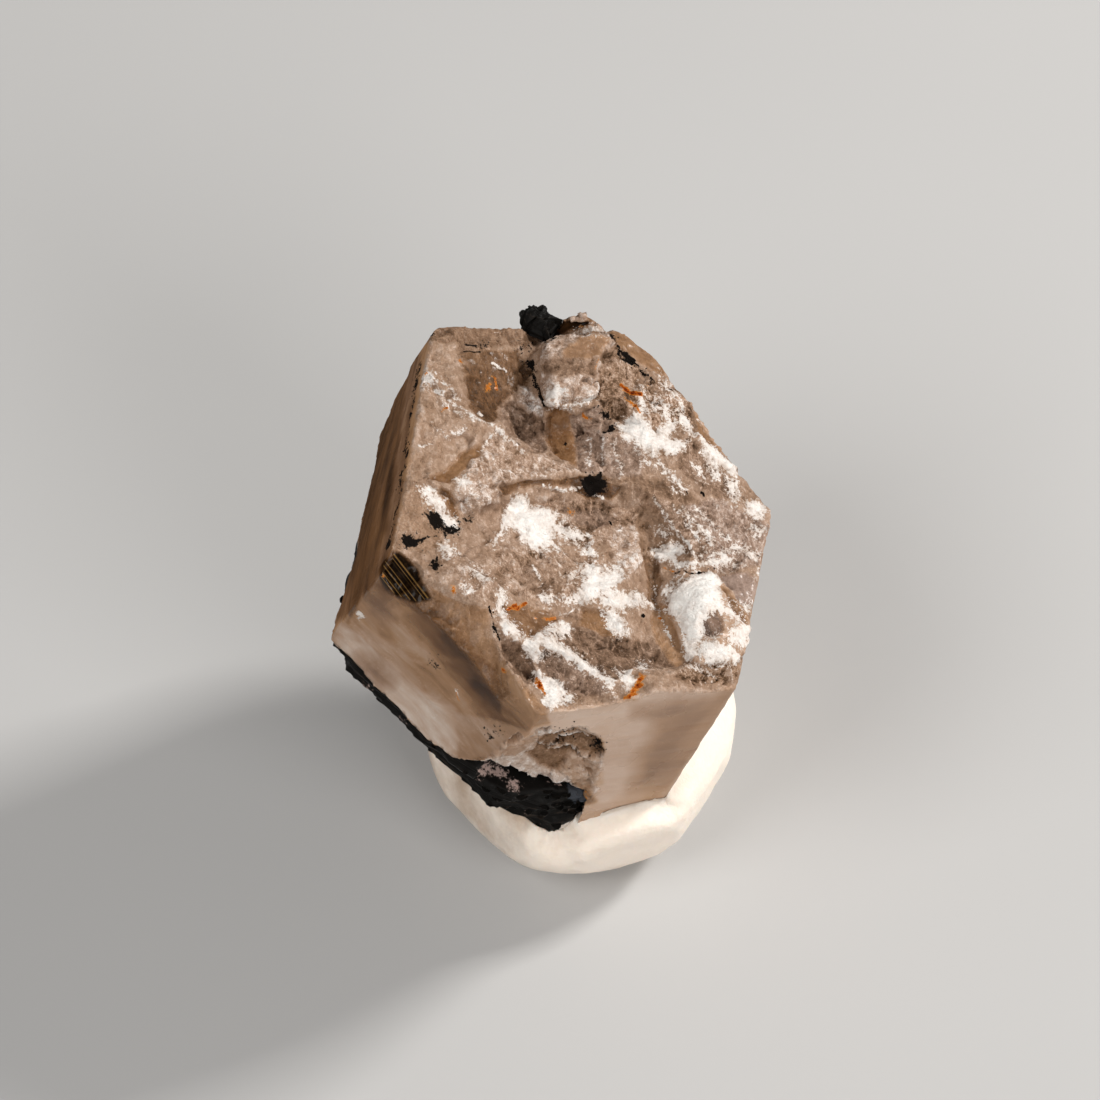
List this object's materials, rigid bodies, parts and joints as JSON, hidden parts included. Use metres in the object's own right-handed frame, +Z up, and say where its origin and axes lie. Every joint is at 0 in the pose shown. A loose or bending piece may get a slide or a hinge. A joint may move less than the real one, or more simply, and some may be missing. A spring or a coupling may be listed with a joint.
{
  "type": "phenakite crystal",
  "caption": "Stubby smoky brown phenakite crystal with a chalk-stained broken end and black mica, stood up in a ball of white putty.",
  "frame": {"origin": "centre of the putty's flat base, on the surface it rests on", "axes": "+Z up, away from the resting surface; -Y towards the side that the picture is taken from; +X to the right in the picture"},
  "size_m": [0.0221, 0.0252, 0.0235],
  "materials": {
    "phenakite": "rough broken end, glossy and frosted prism faces, translucent",
    "black_mica": "flaky, glossy on the flakes",
    "white_putty": "matte and soft"
  },
  "bodies": {
    "root": {"phenakite_crystal": "phenakite", "mica_matrix": "black_mica", "mica_rim_grain": "black_mica", "mounting_putty": "white_putty"}
  },
  "joints": []
}
